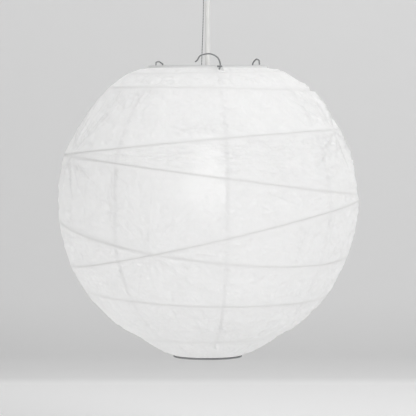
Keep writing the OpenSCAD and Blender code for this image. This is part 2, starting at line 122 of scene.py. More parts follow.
class LanternSizes(PropertyGroup):
    """Sizes of the lantern's soft and visible pieces."""

    ball_radius: length("Ball radius", "Outside of the paper at its widest", 0.225)
    mouth_radius: length("Mouth radius", "Outside of the paper at the top mouth", 0.088)
    seam_turn: FloatProperty(
        name="First seam", description="Turn of the first seam from +X, in degrees", default=6.6
    )
    seam_overlap: length("Seam overlap", "How far each strip lies under the next one", 0.006)
    paper_step: length("Paper step", "Spacing of the paper's points", 0.0022, 0.001, 0.01)
    crumple_depth: length("Crumple depth", "Height of the widest creases between the hoops", 0.0016)
    pleat_depth: length("Pleat depth", "Height of the pleats that fan out where hoops cross", 0.0048)
    # Strength of the painted shade along folds and creases
    fold_shade_strength: FloatProperty(
        name="Fold darkness", description="How much a sharp fold darkens the paper", default=0.2,
        min=0, max=1, subtype="FACTOR",
    )
    puff: FloatProperty(
        name="Puff", description="0 is flat paper between hoops, 1 is full", default=0.45, min=-1, max=2
    )
    low_puff: FloatProperty(
        name="Low puff", description="The same for the two lowest panels", default=1.05, min=-1, max=2
    )
    notch_width: length("Notch width", "Gap in the hem where a hook passes under the ring", 0.008)
    hook_width: length("Hook width", "Width of each hook's arch", 0.036)
    front_hook_height: length("Front hook height", "Height of its arch above the ring", 0.018)
    right_hook_height: length("Right hook height", "Height of its arch above the ring", 0.0115)
    left_hook_height: length("Left hook height", "Height of its arch above the ring", 0.008)
    flex_diameter: length("Flex diameter", "Diameter of the round flex", 0.007)
    support_diameter: length("Support wire diameter", "Diameter of the steel wire beside the flex", 0.0012)
    bulb_radius: length("Bulb radius", "Radius of the bulb's glass", 0.030)
    bulb_light: FloatProperty(
        name="Bulb light", description="How brightly the opal glass is lit", default=5.8, min=0
    )
    nut_grips: IntProperty(
        name="Nut grips", description="Finger flutes round the shade nut", default=20, min=3
    )


class LanternColours(PropertyGroup):
    """Colours of the finishes."""

    paper: colour("Rice paper", "Bleached mulberry paper", "fbfbfb")
    paper_dense: colour("Dense paper", "Where the pulp lies thicker", "f6f6f6")
    # Colour of the painted shade along folds and creases
    paper_folded: colour("Folded paper", "Where light crosses a sharp fold at a slant", "a0a0a0")
    steel_wire: colour("Galvanised wire", "Drawn and galvanised steel", "9a9c9d")
    rib_lacquer: colour("Rib lacquer", "White lacquer on the hoops", "dcdcd8")
    zinc: colour("Zinc plate", "Zinc-plated sheet steel", "a9acad")
    nickel: colour("Nickel", "Turned nickel-plated steel", "b4b3af")
    brass: colour("Brass", "Turned or pressed brass", "c9a961")
    aluminium: colour("Aluminium", "Rolled aluminium", "c8c9ca")
    white_plastic: colour("White plastic", "Moulded white thermoplastic", "efefec")
    base_plastic: colour("Base plastic", "Off-white thermoplastic", "e4e3de")
    ivory_plastic: colour("Ivory plastic", "Terminal block", "ded9c8")
    pvc: colour("PVC", "Soft white sheath", "efefed")
    ceramic: colour("Steatite", "Unglazed white ceramic", "e4e1d8")
    opal: colour("Opal glass", "White flashed glass", "f8f6f1")
    lamp_light: colour("Lamp light", "Light that the lit bulb gives", "fffefd")
    vitrite_dark: colour("Dark vitrite", "Black glass in the bulb's cap", "0c0c0e")
    vitrite_light: colour("Light vitrite", "Where the black glass is thinner", "1d1d20")
    backdrop: colour("Backdrop", "Paper roll behind the lantern", "dfdfdf")
    floor: colour("Floor", "Pale studio floor", "f7f7f7")


def sizes():
    return bpy.context.scene.lantern_sizes


def colours():
    return bpy.context.scene.lantern_colours


# ---- Working with objects ----


def deselect():
    if bpy.context.object and bpy.context.object.mode != "OBJECT":
        bpy.ops.object.mode_set(mode="OBJECT")
    bpy.ops.object.select_all(action="DESELECT")


def pick(obj):
    """Selects one object and makes it the active one."""
    deselect()
    obj.select_set(True)
    bpy.context.view_layer.objects.active = obj


def place_in_mesh(obj):
    pick(obj)
    bpy.ops.object.transform_apply(location=True, rotation=True, scale=True)


def apply_modifier(obj, kind, **settings):
    pick(obj)
    modifier = obj.modifiers.new(kind.title(), kind)
    for key, value in settings.items():
        setattr(modifier, key, value)
    bpy.ops.object.modifier_apply(modifier=modifier.name)


def soften(obj, width, segments, angle):
    """Rounds the edges of a piece that turn by more than an angle in degrees."""
    apply_modifier(
        obj, "BEVEL", width=width, segments=segments, limit_method="ANGLE", angle_limit=math.radians(angle)
    )
    bpy.ops.object.shade_smooth_by_angle(angle=math.radians(35))


def finish_piece(obj, name, body, slot, material, *nodes):
    """Names a piece, gives it its finish and its body, and lets it stand for its CAD nodes."""
    obj.name = name
    obj.data.name = name
    obj.data.materials.clear()
    obj.data.materials.append(material)
    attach(obj, body)
    if nodes:
        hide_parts(*nodes)
    return obj


def finish_node(node, material):
    """Gives a CAD node its finish."""
    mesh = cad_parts[node].data
    mesh.materials.clear()
    mesh.materials.append(material)


def join(objects):
    pick(objects[0])
    for other in objects[1:]:
        other.select_set(True)
    bpy.ops.object.join()
    return objects[0]


def face_outwards():
    """Turns all faces of the mesh in edit mode outwards, and leaves edit mode."""
    bpy.ops.mesh.select_all(action="SELECT")
    bpy.ops.mesh.normals_make_consistent(inside=False)
    bpy.ops.object.mode_set(mode="OBJECT")


def turned(outline, sides):
    """A round piece, from a ring that is extruded and resized along a closed outline of (radius,
    height)."""
    deselect()
    radius, height = outline[0]
    bpy.ops.mesh.primitive_circle_add(vertices=sides, radius=radius, location=(0, 0, height))
    obj = bpy.context.object
    place_in_mesh(obj)
    bpy.ops.object.mode_set(mode="EDIT")
    bpy.ops.mesh.select_mode(type="VERT")
    bpy.ops.mesh.select_all(action="SELECT")
    for next_radius, next_height in [*outline[1:], outline[0]]:
        bpy.ops.mesh.extrude_region_move(TRANSFORM_OT_translate={"value": (0, 0, next_height - height)})
        size = next_radius / radius
        bpy.ops.transform.resize(value=(size, size, 1), center_override=(0, 0, next_height))
        radius, height = next_radius, next_height
    bpy.ops.mesh.select_all(action="SELECT")
    bpy.ops.mesh.remove_doubles(threshold=1e-6)
    face_outwards()
    bpy.ops.object.shade_smooth_by_angle(angle=math.radians(35))
    return obj


def round_corner(middle, radius, start, end, steps):
    """Points of an arc in an outline, with its angles in degrees from +radius towards +height."""
    angles = np.radians(np.linspace(start, end, steps))
    return [(middle[0] + radius * math.cos(a), middle[1] + radius * math.sin(a)) for a in angles]


def thread_ridge(root, crest, pitch, low, turns):
    """A screw thread: a small ridge outline turned and raised by the screw modifier, then closed."""
    sides = 64
    deselect()
    bpy.ops.mesh.primitive_circle_add(
        vertices=10, radius=1, location=(root, 0, low), rotation=(math.pi / 2, 0, 0)
    )
    obj = bpy.context.object
    obj.scale = (crest - root, pitch * 0.3, 1)
    place_in_mesh(obj)
    apply_modifier(
        obj, "SCREW", axis="Z", angle=2 * math.pi, screw_offset=pitch, iterations=turns,
        steps=sides, render_steps=sides, use_merge_vertices=True,
    )
    bpy.ops.object.mode_set(mode="EDIT")
    bpy.ops.mesh.select_all(action="DESELECT")
    bpy.ops.mesh.select_mode(type="EDGE")
    bpy.ops.mesh.select_non_manifold()
    bpy.ops.mesh.fill_holes(sides=0)
    bpy.ops.mesh.select_mode(type="VERT")
    face_outwards()
    bpy.ops.object.shade_smooth_by_angle(angle=math.radians(50))
    return obj


def round_curve(name, points, diameter, resolution):
    """A round cord or wire through some points, as a curve with closed ends."""
    curve = bpy.data.curves.new(name, "CURVE")
    curve.dimensions = "3D"
    curve.bevel_depth = diameter / 2
    curve.bevel_resolution = resolution
    curve.use_fill_caps = True
    spline = curve.splines.new("POLY")
    spline.points.add(len(points) - 1)
    for at, point in zip(spline.points, points):
        at.co = (*point, 1)
    obj = bpy.data.objects.new(name, curve)
    bpy.context.collection.objects.link(obj)
    return obj


def bent_wire(points, diameter, rounding):
    """A bent wire with rounded ends, from a curve made into a mesh."""
    pick(round_curve("wire", points, diameter, 3))
    bpy.ops.object.convert(target="MESH")
    obj = bpy.context.object
    soften(obj, rounding, 3, 50)
    return obj


# ---- Materials ----


def add_node(tree, kind, values=None, links=None, stops=(), **settings):
    """Adds a node with its settings, the values of its sockets, what feeds them, and the stops of
    its colour ramp."""
    node = tree.nodes.new(kind)
    for key, value in settings.items():
        setattr(node, key, value)
    for key, value in (values or {}).items():
        node.inputs[key].default_value = value
    for key, source in (links or {}).items():
        tree.links.new(source, node.inputs[key])
    if stops:
        ramp = node.color_ramp.elements
        ramp.remove(ramp[1])
        for i, (place, shade) in enumerate(stops):
            stop = ramp.new(place) if i else ramp[0]
            stop.position, stop.color = place, (*shade, 1)
    return node


def empty_material(name):
    """A material with no nodes but the place of each point on its piece."""
    material = bpy.data.materials.new(name)
    material.use_nodes = True
    tree = material.node_tree
    tree.nodes.clear()
    return material, tree, add_node(tree, "ShaderNodeTexCoord").outputs["Object"]


def darker(shade, share):
    return [c * share for c in shade]


@cache
def rice_paper():
    """Bleached mulberry paper, hand crumpled and pasted dry. It is matt and fibrous, passes
    about a third of the light and blurs the lamp behind it."""
    c = colours()
    material, tree, at = empty_material("rice_paper")
    # Clouds of pulp about 25 mm across
    clouds = add_node(
        tree, "ShaderNodeTexNoise",
        {"Scale": 40, "Detail": 4, "Roughness": 0.6, "Distortion": 0.4}, {"Vector": at},
    )
    # Fibres: thin lines where a stretched noise passes its middle. Real ones are 0.1 mm wide,
    # and these are drawn about 0.6 mm wide so that they show
    stretch = add_node(
        tree, "ShaderNodeMapping", {"Scale": (1.0, 1.0, 0.45), "Rotation": (0.5, 0.4, 0.3)}, {"Vector": at}
    )
    strands = add_node(
        tree, "ShaderNodeTexNoise", {"Scale": 150, "Detail": 2, "Roughness": 0.5, "Distortion": 2.2},
        {"Vector": stretch.outputs["Vector"]},
    )
    off_middle = add_node(
        tree, "ShaderNodeMath", {1: 0.5}, {0: strands.outputs["Fac"]}, operation="SUBTRACT"
    )
    away = add_node(tree, "ShaderNodeMath", links={0: off_middle.outputs[0]}, operation="ABSOLUTE")
    fibre = add_node(
        tree, "ShaderNodeMapRange",
        {"From Min": 0.0, "From Max": 0.03, "To Min": 1.0, "To Max": 0.0}, {"Value": away.outputs[0]},
    )
    dense = add_node(
        tree, "ShaderNodeMath", {1: 0.35}, {0: fibre.outputs["Result"], 2: clouds.outputs["Fac"]},
        operation="MULTIPLY_ADD",
    )
    pulp = add_node(
        tree, "ShaderNodeValToRGB", links={"Fac": dense.outputs[0]},
        stops=((0.35, c.paper), (1, c.paper_dense)),
    )
    # Painted shade: the paper is darkened along its folds and creases and beside each pleat's ridge, where
    # their shadow lines fall
    fold = add_node(tree, "ShaderNodeAttribute", attribute_name="fold")
    darkness = add_node(
        tree, "ShaderNodeMath", {1: sizes().fold_shade_strength}, {0: fold.outputs["Fac"]},
        operation="MULTIPLY", use_clamp=True,
    )
    tint = add_node(
        tree, "ShaderNodeMixRGB", {2: (*c.paper_folded, 1)},
        {0: darkness.outputs[0], 1: pulp.outputs["Color"]},
    ).outputs[0]
    # Creases of the crumpled sheet, 6 mm and 2.5 mm apart
    coarse = add_node(
        tree, "ShaderNodeTexVoronoi", {"Scale": 165}, {"Vector": at}, feature="DISTANCE_TO_EDGE"
    )
    fine = add_node(
        tree, "ShaderNodeTexNoise", {"Scale": 400, "Detail": 3, "Roughness": 0.65}, {"Vector": at}
    )
    relief = add_node(
        tree, "ShaderNodeMath", {1: 0.5}, {0: fine.outputs["Fac"], 2: coarse.outputs["Distance"]},
        operation="MULTIPLY_ADD",
    )
    bump = add_node(
        tree, "ShaderNodeBump", {"Strength": 0.35, "Distance": 0.0005}, {"Height": relief.outputs[0]}
    )
    front = add_node(
        tree, "ShaderNodeBsdfPrincipled",
        {"Roughness": 0.82, "Specular IOR Level": 0.25, "Sheen Weight": 0.05},
        {"Base Color": tint, "Normal": bump.outputs["Normal"]},
    )
    through = add_node(
        tree, "ShaderNodeBsdfTranslucent", links={"Color": tint, "Normal": bump.outputs["Normal"]}
    )
    body = add_node(
        tree, "ShaderNodeMixShader", {0: 0.42}, {1: front.outputs[0], 2: through.outputs[0]}
    )
    # A little light goes nearly straight on, so the lit bulb shows as a soft glow
    blurred = add_node(
        tree, "ShaderNodeBsdfRefraction", {"Roughness": 0.5, "IOR": 1.2}, {"Color": tint}
    )
    whole = add_node(
        tree, "ShaderNodeMixShader", {0: 0.012}, {1: body.outputs[0], 2: blurred.outputs[0]}
    )
    add_node(tree, "ShaderNodeOutputMaterial", links={"Surface": whole.outputs[0]})
    return material


@cache
def metal(name, shade_name, roughness, grain_mm, stretch_z, wear):
    """A bare or plated metal. Its drawing, turning or rolling leaves fine lines one way, which
    spread the highlight, and handling leaves duller patches."""
    shade = getattr(colours(), shade_name)
    material, tree, at = empty_material(name)
    lines = add_node(tree, "ShaderNodeMapping", {"Scale": (1, 1, stretch_z)}, {"Vector": at})
    grain = add_node(
        tree, "ShaderNodeTexNoise", {"Scale": 1000 / grain_mm, "Detail": 3},
        {"Vector": lines.outputs["Vector"]},
    )
    patches = add_node(
        tree, "ShaderNodeTexNoise", {"Scale": 110, "Detail": 4, "Roughness": 0.6}, {"Vector": at}
    )
    both = add_node(
        tree, "ShaderNodeMath", {1: 0.35}, {0: grain.outputs["Fac"], 2: patches.outputs["Fac"]},
        operation="MULTIPLY_ADD",
    )
    tint = add_node(
        tree, "ShaderNodeValToRGB", links={"Fac": both.outputs[0]},
        stops=((0.35, darker(shade, 1 - wear)), (0.85, shade)),
    )
    rough = add_node(
        tree, "ShaderNodeMapRange",
        {"From Min": 0.3, "From Max": 0.95, "To Min": roughness + 0.12, "To Max": roughness - 0.06},
        {"Value": both.outputs[0]},
    )
    bump = add_node(
        tree, "ShaderNodeBump", {"Strength": 0.2, "Distance": 0.00008}, {"Height": grain.outputs["Fac"]}
    )
    shader = add_node(
        tree, "ShaderNodeBsdfPrincipled", {"Metallic": 1.0},
        {
            "Base Color": tint.outputs["Color"], "Roughness": rough.outputs["Result"],
            "Normal": bump.outputs["Normal"],
        },
    )
    add_node(tree, "ShaderNodeOutputMaterial", links={"Surface": shader.outputs[0]})
    return material


@cache
def moulded(name, shade_name, roughness, grain_mm, specular):
    """A moulded plastic. The tool's spark-eroded skin leaves a fine grain, the melt leaves faint
    clouds, and the gloss stays low and even."""
    shade = getattr(colours(), shade_name)
    material, tree, at = empty_material(name)
    skin = add_node(tree, "ShaderNodeTexNoise", {"Scale": 1000 / grain_mm, "Detail": 2}, {"Vector": at})
    clouds = add_node(tree, "ShaderNodeTexNoise", {"Scale": 45, "Detail": 3}, {"Vector": at})
    tint = add_node(
        tree, "ShaderNodeValToRGB", links={"Fac": clouds.outputs["Fac"]},
        stops=((0.35, darker(shade, 0.95)), (0.6, shade)),
    )
    rough = add_node(
        tree, "ShaderNodeMapRange",
        {"From Min": 0.3, "From Max": 0.7, "To Min": roughness - 0.05, "To Max": roughness + 0.07},
        {"Value": skin.outputs["Fac"]},
    )
    bump = add_node(
        tree, "ShaderNodeBump", {"Strength": 0.15, "Distance": 0.0001}, {"Height": skin.outputs["Fac"]}
    )
    shader = add_node(
        tree, "ShaderNodeBsdfPrincipled", {"IOR": 1.5, "Specular IOR Level": specular},
        {
            "Base Color": tint.outputs["Color"], "Roughness": rough.outputs["Result"],
            "Normal": bump.outputs["Normal"],
        },
    )
    add_node(tree, "ShaderNodeOutputMaterial", links={"Surface": shader.outputs[0]})
    return material


@cache
def rib_lacquer():
    """Thin steel wire dipped in white lacquer. It is smooth, with a few darker scuffs and runs."""
    shade = colours().rib_lacquer
    material, tree, at = empty_material("white_lacquered_wire")
    scuffs = add_node(
        tree, "ShaderNodeTexNoise", {"Scale": 90, "Detail": 5, "Roughness": 0.7}, {"Vector": at}
    )
    tint = add_node(
        tree, "ShaderNodeValToRGB", links={"Fac": scuffs.outputs["Fac"]},
        stops=((0.3, darker(shade, 0.72)), (0.45, shade)),
    )
    shader = add_node(
        tree, "ShaderNodeBsdfPrincipled", {"Coat Weight": 0.3, "Coat Roughness": 0.2, "Roughness": 0.42},
        {"Base Color": tint.outputs["Color"]},
    )
    add_node(tree, "ShaderNodeOutputMaterial", links={"Surface": shader.outputs[0]})
    return material


@cache
def steel_rope():
    """Fine steel wire rope in a clear sheath. Its strands wind round it every 5 mm, drawn wider than real
    ones so that they show, with a painted highlight and painted shade in turn where they would catch the
    light."""
    shade = colours().zinc
    material, tree, at = empty_material("fine_steel_rope")
    lay = add_node(tree, "ShaderNodeMapping", {"Rotation": (0, 0.6, 0)}, {"Vector": at})
    strands = add_node(
        tree, "ShaderNodeTexWave", {"Scale": 95, "Distortion": 0.4}, {"Vector": lay.outputs["Vector"]},
        bands_direction="Z",
    )
    # Painted highlight and shade: the bands turn lighter and darker along the lay of the strands
    tint = add_node(
        tree, "ShaderNodeValToRGB", links={"Fac": strands.outputs["Fac"]},
        stops=((0.2, darker(shade, 0.55)), (0.8, shade)),
    )
    bump = add_node(
        tree, "ShaderNodeBump", {"Strength": 0.5, "Distance": 0.0002}, {"Height": strands.outputs["Fac"]}
    )
    shader = add_node(
        tree, "ShaderNodeBsdfPrincipled",
        {"Metallic": 0.85, "Roughness": 0.42, "Coat Weight": 0.25, "Coat Roughness": 0.15},
        {"Base Color": tint.outputs["Color"], "Normal": bump.outputs["Normal"]},
    )
    add_node(tree, "ShaderNodeOutputMaterial", links={"Surface": shader.outputs[0]})
    return material


@cache
def steatite():
    """Unglazed pressed ceramic. It is matt and chalky, with fine grit and faint grey specks."""
    shade = colours().ceramic
    material, tree, at = empty_material("unglazed_steatite")
    specks = add_node(tree, "ShaderNodeTexVoronoi", {"Scale": 550}, {"Vector": at})
    tint = add_node(
        tree, "ShaderNodeValToRGB", links={"Fac": specks.outputs["Distance"]},
        stops=((0.05, darker(shade, 0.8)), (0.2, shade)),
    )
    grit = add_node(tree, "ShaderNodeTexNoise", {"Scale": 2500, "Detail": 3}, {"Vector": at})
    bump = add_node(
        tree, "ShaderNodeBump", {"Strength": 0.3, "Distance": 0.0001}, {"Height": grit.outputs["Fac"]}
    )
    shader = add_node(
        tree, "ShaderNodeBsdfPrincipled", {"Roughness": 0.85},
        {"Base Color": tint.outputs["Color"], "Normal": bump.outputs["Normal"]},
    )
    add_node(tree, "ShaderNodeOutputMaterial", links={"Surface": shader.outputs[0]})
    return material


@cache
def vitrite():
    """Black glass poured into the bulb's cap. It is glossy, with a wavy fire-polished skin."""
    c = colours()
    material, tree, at = empty_material("black_vitrite")
    waves = add_node(tree, "ShaderNodeTexNoise", {"Scale": 300, "Detail": 2}, {"Vector": at})
    tint = add_node(
        tree, "ShaderNodeValToRGB", links={"Fac": waves.outputs["Fac"]},
        stops=((0.3, c.vitrite_dark), (0.7, c.vitrite_light)),
    )
    bump = add_node(
        tree, "ShaderNodeBump", {"Strength": 0.25, "Distance": 0.0002}, {"Height": waves.outputs["Fac"]}
    )
    shader = add_node(
        tree, "ShaderNodeBsdfPrincipled", {"Roughness": 0.12, "IOR": 1.52},
        {"Base Color": tint.outputs["Color"], "Normal": bump.outputs["Normal"]},
    )
    add_node(tree, "ShaderNodeOutputMaterial", links={"Surface": shader.outputs[0]})
    return material


@cache
def opal_glass():
    """Blown glass flashed with opal. It glows evenly under a clear glossy skin."""
    c = colours()
    material, tree, at = empty_material("opal_glass_lit")
    flash = add_node(tree, "ShaderNodeTexNoise", {"Scale": 60, "Detail": 3}, {"Vector": at})
    tint = add_node(
        tree, "ShaderNodeValToRGB", links={"Fac": flash.outputs["Fac"]},
        stops=((0.3, darker(c.opal, 0.96)), (0.7, c.opal)),
    )
    shader = add_node(
        tree, "ShaderNodeBsdfPrincipled",
        {
            "Roughness": 0.12, "IOR": 1.52, "Emission Color": (*c.lamp_light, 1),
            "Emission Strength": sizes().bulb_light,
        },
        {"Base Color": tint.outputs["Color"]},
    )
    add_node(tree, "ShaderNodeOutputMaterial", links={"Surface": shader.outputs[0]})
    return material


def galvanised_wire():
    return metal("galvanised_drawn_wire", "steel_wire", 0.42, 0.8, 0.15, 0.25)


def zinc_sheet():
    return metal("zinc_plated_sheet", "zinc", 0.36, 0.5, 1.0, 0.15)


def white_moulding():
    return moulded("white_moulded_thermoplastic", "white_plastic", 0.34, 0.5, 0.5)


def off_white_moulding():
    return moulded("off_white_thermoplastic", "base_plastic", 0.5, 0.6, 0.4)


# ---- Stage ----


class LANTERN_OT_stage(Operator):
    """Pale floor that runs up into a plain backdrop, soft light and the camera"""

    bl_idname = "lantern.stage"
    bl_label = "Stage"

    floor_z, backdrop_y = -0.775, 1.2

    def execute(self, context):
        self.make_sweep()
        self.make_light(context)
        self.make_camera(context)
        return {"FINISHED"}

    def make_sweep(self):
        """A plane whose back edge is turned up in a small bend and drawn up into the backdrop."""
        bend = 0.06
        deselect()
        bpy.ops.mesh.primitive_plane_add(size=1, location=(0, self.backdrop_y - bend - 4, self.floor_z))
        sweep = bpy.context.object
        sweep.scale = (14, 8, 1)
        place_in_mesh(sweep)
        bpy.ops.object.mode_set(mode="EDIT")
        bpy.ops.mesh.select_all(action="DESELECT")
        bpy.ops.object.mode_set(mode="OBJECT")
        points = sweep.data.vertices
        back = max(v.co.y for v in points) - 0.01
        for edge in sweep.data.edges:
            edge.select = all(points[i].co.y > back for i in edge.vertices)
        bpy.ops.object.mode_set(mode="EDIT")
        bpy.ops.mesh.select_mode(type="EDGE")
        bpy.ops.mesh.spin(
            steps=12, angle=-math.pi / 2, axis=(1, 0, 0),
            center=(0, self.backdrop_y - bend, self.floor_z + bend),
        )
        bpy.ops.mesh.extrude_region_move(TRANSFORM_OT_translate={"value": (0, 0, 4)})
        bpy.ops.object.mode_set(mode="OBJECT")
        high = max(v.co.z for v in sweep.data.vertices)
        if high < self.floor_z + 3:
            raise RuntimeError("the backdrop did not rise from the floor")
        pick(sweep)
        bpy.ops.object.shade_smooth()
        sweep.name = "studio_sweep"
        sweep.data.materials.append(self.sweep_material())

    def sweep_material(self):
        """A matt paper roll. It is paler on the floor, its backdrop carries painted shade that darkens it
        towards its foot, and it shows nothing from behind.
        """
        c = colours()
        material, tree, at = empty_material("matt_paper_roll")
        split = add_node(tree, "ShaderNodeSeparateXYZ", links={"Vector": at})
        height = add_node(
            tree, "ShaderNodeMapRange", {"From Min": self.floor_z, "From Max": self.floor_z + 0.8},
            {"Value": split.outputs["Z"]},
        )
        # Painted shade: the backdrop is darkest about 5 cm above the floor and brightens to its own colour
        # higher up
        backdrop_shade_shares = ((0.014, 0.985), (0.034, 0.91), (0.06, 0.87), (0.2, 0.95), (1, 1))
        ramp = add_node(
            tree, "ShaderNodeValToRGB", links={"Fac": height.outputs["Result"]},
            stops=((0, c.floor), *((place, darker(c.backdrop, share)) for place, share in backdrop_shade_shares)),
        )
        fibre = add_node(tree, "ShaderNodeTexNoise", {"Scale": 60, "Detail": 4}, {"Vector": at})
        bump = add_node(
            tree, "ShaderNodeBump", {"Strength": 0.05, "Distance": 0.001}, {"Height": fibre.outputs["Fac"]}
        )
        paper = add_node(
            tree, "ShaderNodeBsdfPrincipled", {"Roughness": 0.95, "Specular IOR Level": 0.1},
            {"Base Color": ramp.outputs["Color"], "Normal": bump.outputs["Normal"]},
        )
        side = add_node(tree, "ShaderNodeNewGeometry")
        clear = add_node(tree, "ShaderNodeBsdfTransparent")
        shader = add_node(
            tree, "ShaderNodeMixShader",
            links={0: side.outputs["Backfacing"], 1: paper.outputs[0], 2: clear.outputs[0]},
        )
        add_node(tree, "ShaderNodeOutputMaterial", links={"Surface": shader.outputs[0]})
        return material

    def make_light(self, context):
        scene = context.scene
        scene.view_settings.view_transform = "Standard"
        world = bpy.data.worlds.new("studio_light")
        world.use_nodes = True
        tree = world.node_tree
        tree.nodes.clear()
        soft = add_node(tree, "ShaderNodeBackground", {"Color": (1, 1, 1, 1), "Strength": 0.51})
        add_node(tree, "ShaderNodeOutputWorld", links={"Surface": soft.outputs[0]})
        scene.world = world
        for name, place, size, power in (
            ("soft_key", (1.8, -2.4, 1.2), 1.2, 31),
            ("soft_fill", (-2.3, -2.2, -0.5), 0.5, 11),
            ("floor_wash", (0.3, 0.3, 1.6), 1.6, 13),
        ):
            data = bpy.data.lights.new(name, "AREA")
            data.size, data.energy = size, power
            light = bpy.data.objects.new(name, data)
            light.location = place
            aim = Vector((0, 0, MIDDLE_Z)) - Vector(place)
            light.rotation_euler = aim.to_track_quat("-Z", "Y").to_euler()
            context.collection.objects.link(light)

    def make_camera(self, context):
        distance, rise = 4.0, math.radians(2.5)
        # The view is centred a little below the middle of the ball
        target = Vector((0.0005, 0, MIDDLE_Z - 0.009))
        data = bpy.data.cameras.new("camera")
        data.sensor_width = 36
        data.lens = 233
        camera = bpy.data.objects.new("camera", data)
        camera.location = target + distance * Vector((0, -math.cos(rise), math.sin(rise)))
        camera.rotation_euler = (target - camera.location).to_track_quat("-Z", "Y").to_euler()
        context.collection.objects.link(camera)
        context.scene.camera = camera


# ---- Cords ----

# The flex and the support wire, as the CAD routes them between the swivel and the lampholder
FLEX_TOP, FLEX_END = -0.033, -0.240
WIRE_TOP, WIRE_END = -0.031, -0.242
WIRE_X, WIRE_END_X = 0.006, 0.010
LEAN_START, LEAN_END = -0.059, -0.230


class LANTERN_OT_cords(Operator):
    """Round white flex and the fine steel support wire beside it"""

    bl_idname = "lantern.cords"
    bl_label = "Flex and support wire"

    def execute(self, context):
        s = sizes()
        points = [(0, 0, z) for z in np.linspace(FLEX_TOP, FLEX_END, 30)]
        flex = round_curve("flex_cord", points, s.flex_diameter, 6)
        sheath = moulded("soft_pvc_sheath", "pvc", 0.38, 0.6, 0.5)
        finish_piece(flex, "flex_cord", "pendant", "flex_pvc", sheath, "flex")
        points = []
        for z in np.linspace(WIRE_TOP, WIRE_END, 60):
            lean = min(1, max(0, (LEAN_START - z) / (LEAN_START - LEAN_END)))
            points.append((-WIRE_X - (WIRE_END_X - WIRE_X) * lean * lean * (3 - 2 * lean), 0, z))
        rope = round_curve("support_rope", points, s.support_diameter, 6)
        finish_piece(rope, "support_rope", "pendant", "support_cable", steel_rope(), "support_wire")
        finish_node("wire_crimps", metal("pressed_aluminium", "aluminium", 0.38, 0.4, 0.3, 0.2))
        return {"FINISHED"}


# ---- Ceiling rose ----


class LANTERN_OT_rose(Operator):
    """Ceiling rose: its bell cover, base plate, terminals and the swivel"""

    bl_idname = "lantern.rose"
    bl_label = "Ceiling rose"

    def execute(self, context):
        self.make_cover()
        zinc = zinc_sheet()
        nickel = metal("turned_nickel_plate", "nickel", 0.28, 0.35, 4.0, 0.12)
        for node, finish in (
            ("rose_base", off_white_moulding()), ("swivel_bracket", zinc), ("bracket_screws", zinc),
            ("terminal_block", moulded("ivory_thermoplastic", "ivory_plastic", 0.45, 0.5, 0.4)),
            ("terminal_screws", metal("turned_brass", "brass", 0.3, 0.35, 4.0, 0.15)),
            ("swivel_collar", nickel), ("swivel_tilt_ring", nickel), ("swivel_ball", nickel),
        ):
            finish_node(node, finish)
        return {"FINISHED"}

    def make_cover(self):
        low, high = corners("rose_cover")
        radius, bottom, top = high[0], low[2], high[2]
        wall, corner, hole = 0.002, 0.020, 0.013
        corner_at = (radius - corner, bottom + corner)
        # Outside from the ceiling down round the shoulder to the hole, then back up inside
        outline = [
            (radius - 0.0004, top), (radius, top - 0.0005), (radius, top - 0.0060),
            (radius - 0.0005, top - 0.0063), (radius - 0.0005, top - 0.0070), (radius, top - 0.0073),
            *round_corner(corner_at, corner, 0, -90, 12),
            (hole + 0.0022, bottom), (hole + 0.0006, bottom + 0.0002), (hole, bottom + 0.0009),
            (hole, bottom + wall),
            *round_corner(corner_at, corner - wall, -90, 0, 12),
            (radius - wall, top),
        ]
        bell = turned(outline, 128)
        # Two ledges that hang on the base's lugs
        in_r, ledge_in_r, ledge_low = radius - wall, 0.0460, -0.0029
        ledges = [self.ledge(in_r + 0.0003, ledge_in_r, ledge_low, top, side) for side in (90, 270)]
        cover = join([bell, *ledges])
        finish_piece(cover, "rose_bell", "cover", "white_plastic", white_moulding(), "rose_cover")

    def ledge(self, outer, inner, low, high, side):
        """A bar bent round the inside of the cover's rim."""
        deselect()
        bpy.ops.mesh.primitive_plane_add(
            size=1, location=((outer + inner) / 2, 0, (low + high) / 2), rotation=(math.pi / 2, 0, 0)
        )
        bar = bpy.context.object
        bar.scale = (outer - inner, high - low, 1)
        place_in_mesh(bar)
        bpy.ops.object.mode_set(mode="EDIT")
        bpy.ops.mesh.select_all(action="SELECT")
        bpy.ops.mesh.spin(steps=8, angle=math.radians(22), center=(0, 0, 0), axis=(0, 0, 1))
        face_outwards()
        points = bar.data.vertices
        turn = math.atan2(sum(v.co.y for v in points), sum(v.co.x for v in points))
        bar.rotation_euler = (0, 0, math.radians(side) - turn)
        place_in_mesh(bar)
        return bar


# ---- Lampholder and bulb ----


